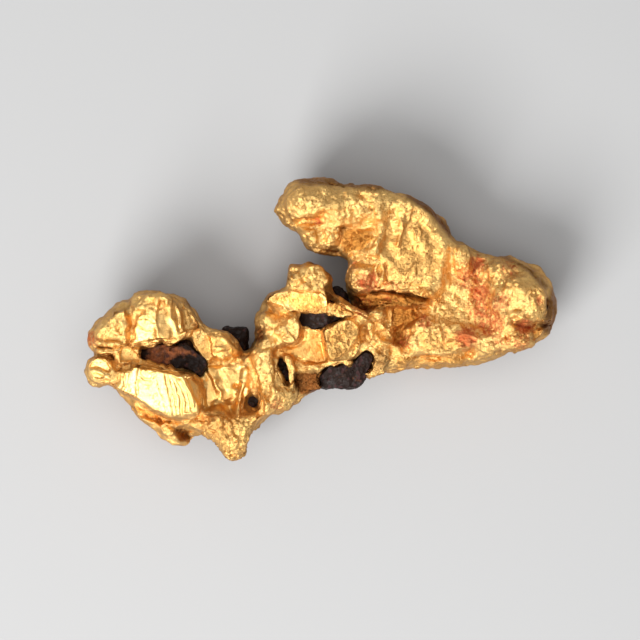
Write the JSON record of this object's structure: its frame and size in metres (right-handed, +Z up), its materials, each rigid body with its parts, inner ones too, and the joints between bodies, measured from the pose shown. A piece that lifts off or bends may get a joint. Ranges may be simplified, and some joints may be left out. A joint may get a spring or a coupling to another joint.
{
  "type": "gold nugget",
  "caption": "Natural nugget of native gold: a long hooked mass of lobes, lumps and pits, lying on its back, with chips of dark ironstone lodged in its hollows.",
  "frame": {"origin": "on the surface that the nugget rests on, under the middle of its box", "axes": "+X along the length, towards the round end; +Y across the width, towards the hooked arm; +Z up, out of the face that shows"},
  "size_m": [0.0519, 0.0312, 0.0144],
  "materials": {
    "gold": "natural grainy gold, worn bright on the high faces, with red-brown iron stain in the hollows",
    "ironstone": "dull, purple-black and rust-brown, broken rough"
  },
  "bodies": {
    "root": {"gold": "gold", "ironstone_seam": "ironstone", "ironstone_saddle": "ironstone", "ironstone_crest": "ironstone", "ironstone_belly": "ironstone", "ironstone_gap": "ironstone", "ironstone_grain_slot": "ironstone", "ironstone_grain_pit": "ironstone"}
  },
  "joints": []
}
